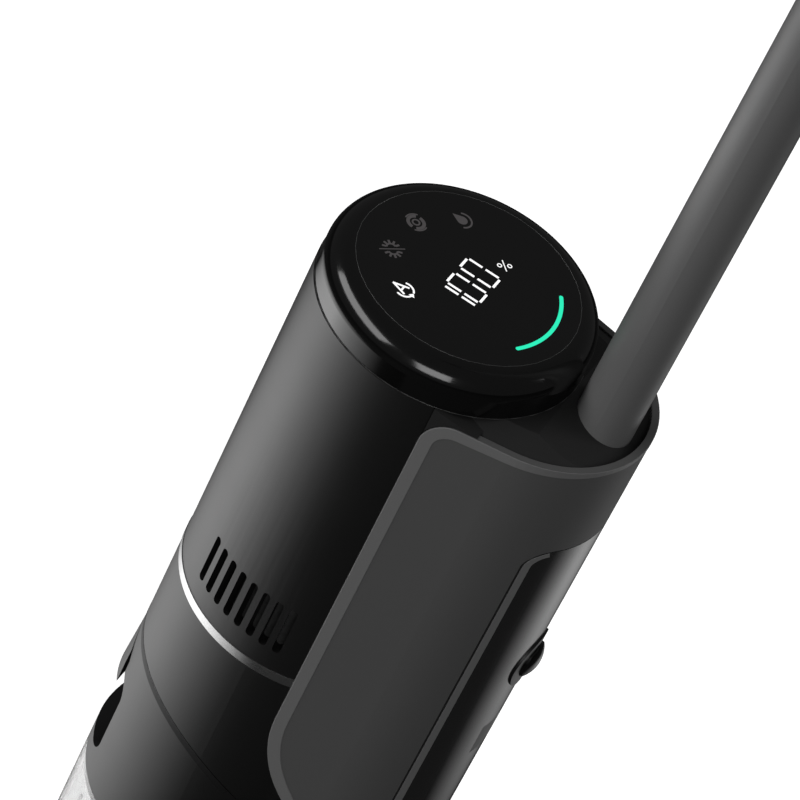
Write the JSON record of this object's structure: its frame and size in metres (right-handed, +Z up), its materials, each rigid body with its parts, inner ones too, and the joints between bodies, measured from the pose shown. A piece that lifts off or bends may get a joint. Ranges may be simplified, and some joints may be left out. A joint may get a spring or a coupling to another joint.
{
  "type": "cordless wet and dry floor washer",
  "caption": "Upright floor washer with a round body and display, removable clean and dirty water tanks, a tilting neck, a driven roller head and a loop handle.",
  "frame": {"origin": "on the floor under the middle of the machine's bounding box", "axes": "+Z up, -Y forwards (roller), +Y towards the user, +X the user's left"},
  "size_m": [0.29, 0.25, 1.11],
  "materials": {
    "black_gloss": "high gloss",
    "board": "circuit board",
    "brush_fabric": "short pile",
    "cell_wrap": "shrink wrap",
    "clear_tank": "clear, lightly smoked",
    "display_glass": "black glass",
    "filter_paper": "pleated paper",
    "foam": "open foam",
    "frame_grey": "satin dark grey",
    "inner_plastic": "matte",
    "satin_black": "satin",
    "smoked_tank": "smoked",
    "soft_rubber": "matte",
    "steel": "brushed",
    "tube_grey": "fine powder coat"
  },
  "bodies": {
    "floor_head": {"head_base": "satin_black", "suction_duct": "inner_plastic", "rear_squeegee": "soft_rubber", "head_cover": "frame_grey", "end_cheek_left": "satin_black", "end_cheek_right": "satin_black", "side_cover_left": "frame_grey", "side_cover_right": "frame_grey", "roller_motor": "steel", "drive_belt": "soft_rubber", "scraper_bar": "soft_rubber", "spray_bar": "inner_plastic", "tilt_pin": "steel", "wheel_axle": "steel"},
    "hood": {"roller_cover": "frame_grey"},
    "roller": {"roller_core": "inner_plastic", "roller_brush": "brush_fabric", "roller_pulley": "inner_plastic"},
    "motor_shaft": {"motor_pulley": "inner_plastic"},
    "left_wheel": {"wheel_left": "satin_black"},
    "right_wheel": {"wheel_right": "satin_black"},
    "neck": {"neck_yoke": "inner_plastic", "neck_hose": "soft_rubber"},
    "main_body": {"display_cap": "black_gloss", "display_glass": "display_glass", "display_board": "board", "motor_housing": "satin_black", "trim_ring": "steel", "collar_shell": "satin_black", "rear_frame": "frame_grey", "water_port": "soft_rubber", "deck": "satin_black", "suction_motor": "inner_plastic", "exhaust_foam": "foam", "battery_case": "inner_plastic", "battery_cell_1": "cell_wrap", "battery_cell_2": "cell_wrap", "battery_cell_3": "cell_wrap", "battery_cell_4": "cell_wrap", "control_board": "board", "handle_tube": "tube_grey", "grip_loop": "satin_black", "grip_pad": "soft_rubber", "lower_shell": "satin_black"},
    "impeller": {"fan_impeller": "inner_plastic"},
    "waste_tank": {"tank_lid": "satin_black", "lid_seal": "soft_rubber", "filter_cartridge": "filter_paper", "dirty_tank": "clear_tank", "intake_pipe": "inner_plastic"},
    "flap": {"release_flap": "satin_black"},
    "float": {"float_ring": "inner_plastic"},
    "water_tank": {"clean_tank": "smoked_tank", "button_ring": "satin_black"},
    "tank_latch": {"tank_button": "black_gloss"},
    "filler": {"filler_plug": "satin_black"},
    "power_key": {"power_button": "black_gloss"},
    "mode_key": {"mode_button": "black_gloss"},
    "clean_key": {"clean_button": "black_gloss"}
  },
  "joints": [
    {"name": "recline", "type": "hinge", "parent": "floor_head", "child": "neck", "pos_m": [0, 0.055, 0.058], "axis": [-1, 0, 0], "range_deg": [0, 65]},
    {"name": "side_lean", "type": "hinge", "parent": "neck", "child": "main_body", "pos_m": [0, 0.05, 0.095], "axis": [0, 1, 0], "range_deg": [-35, 35]},
    {"name": "roller_spin", "type": "hinge", "parent": "floor_head", "child": "roller", "pos_m": [0, -0.09, 0.031], "axis": [1, 0, 0], "continuous": true},
    {"name": "motor_spin", "type": "hinge", "parent": "floor_head", "child": "motor_shaft", "pos_m": [0.1345, 0.004, 0.031], "axis": [1, 0, 0], "continuous": true},
    {"name": "left_wheel_roll", "type": "hinge", "parent": "floor_head", "child": "left_wheel", "pos_m": [0.085, 0.097, 0.028], "axis": [1, 0, 0], "continuous": true},
    {"name": "right_wheel_roll", "type": "hinge", "parent": "floor_head", "child": "right_wheel", "pos_m": [-0.085, 0.097, 0.028], "axis": [1, 0, 0], "continuous": true},
    {"name": "hood_lift", "type": "slide", "parent": "floor_head", "child": "hood", "axis": [0, 0, 1], "range_m": [0, 0.06]},
    {"name": "impeller_spin", "type": "hinge", "parent": "main_body", "child": "impeller", "pos_m": [0, 0, 0.476], "axis": [0, 0, 1], "continuous": true},
    {"name": "waste_tank_out", "type": "slide", "parent": "main_body", "child": "waste_tank", "axis": [0, -1, 0], "range_m": [0, 0.12]},
    {"name": "flap_pull", "type": "hinge", "parent": "waste_tank", "child": "flap", "pos_m": [0, -0.058, 0.4015], "axis": [-1, 0, 0], "range_deg": [0, 8], "stiffness_Nm_per_rad": 0.6},
    {"name": "float_rise", "type": "slide", "parent": "waste_tank", "child": "float", "axis": [0, 0, 1], "range_m": [0, 0.02]},
    {"name": "water_tank_out", "type": "slide", "parent": "main_body", "child": "water_tank", "axis": [0, 1, 0], "range_m": [0, 0.08]},
    {"name": "latch_press", "type": "slide", "parent": "water_tank", "child": "tank_latch", "axis": [0, -1, 0], "range_m": [0, 0.003], "stiffness_N_per_m": 900},
    {"name": "filler_pull", "type": "slide", "parent": "water_tank", "child": "filler", "axis": [0, 1, 0], "range_m": [0, 0.02]},
    {"name": "power_key_press", "type": "slide", "parent": "main_body", "child": "power_key", "axis": [0, 0, -1], "range_m": [0, 0.0015], "stiffness_N_per_m": 400},
    {"name": "mode_key_press", "type": "slide", "parent": "main_body", "child": "mode_key", "axis": [0, 0, -1], "range_m": [0, 0.0015], "stiffness_N_per_m": 400},
    {"name": "clean_key_press", "type": "slide", "parent": "main_body", "child": "clean_key", "axis": [0, 0, -1], "range_m": [0, 0.0015], "stiffness_N_per_m": 400}
  ],
  "couplings": [
    {"joint": "motor_spin", "follows": "roller_spin", "ratio": 2}
  ]
}
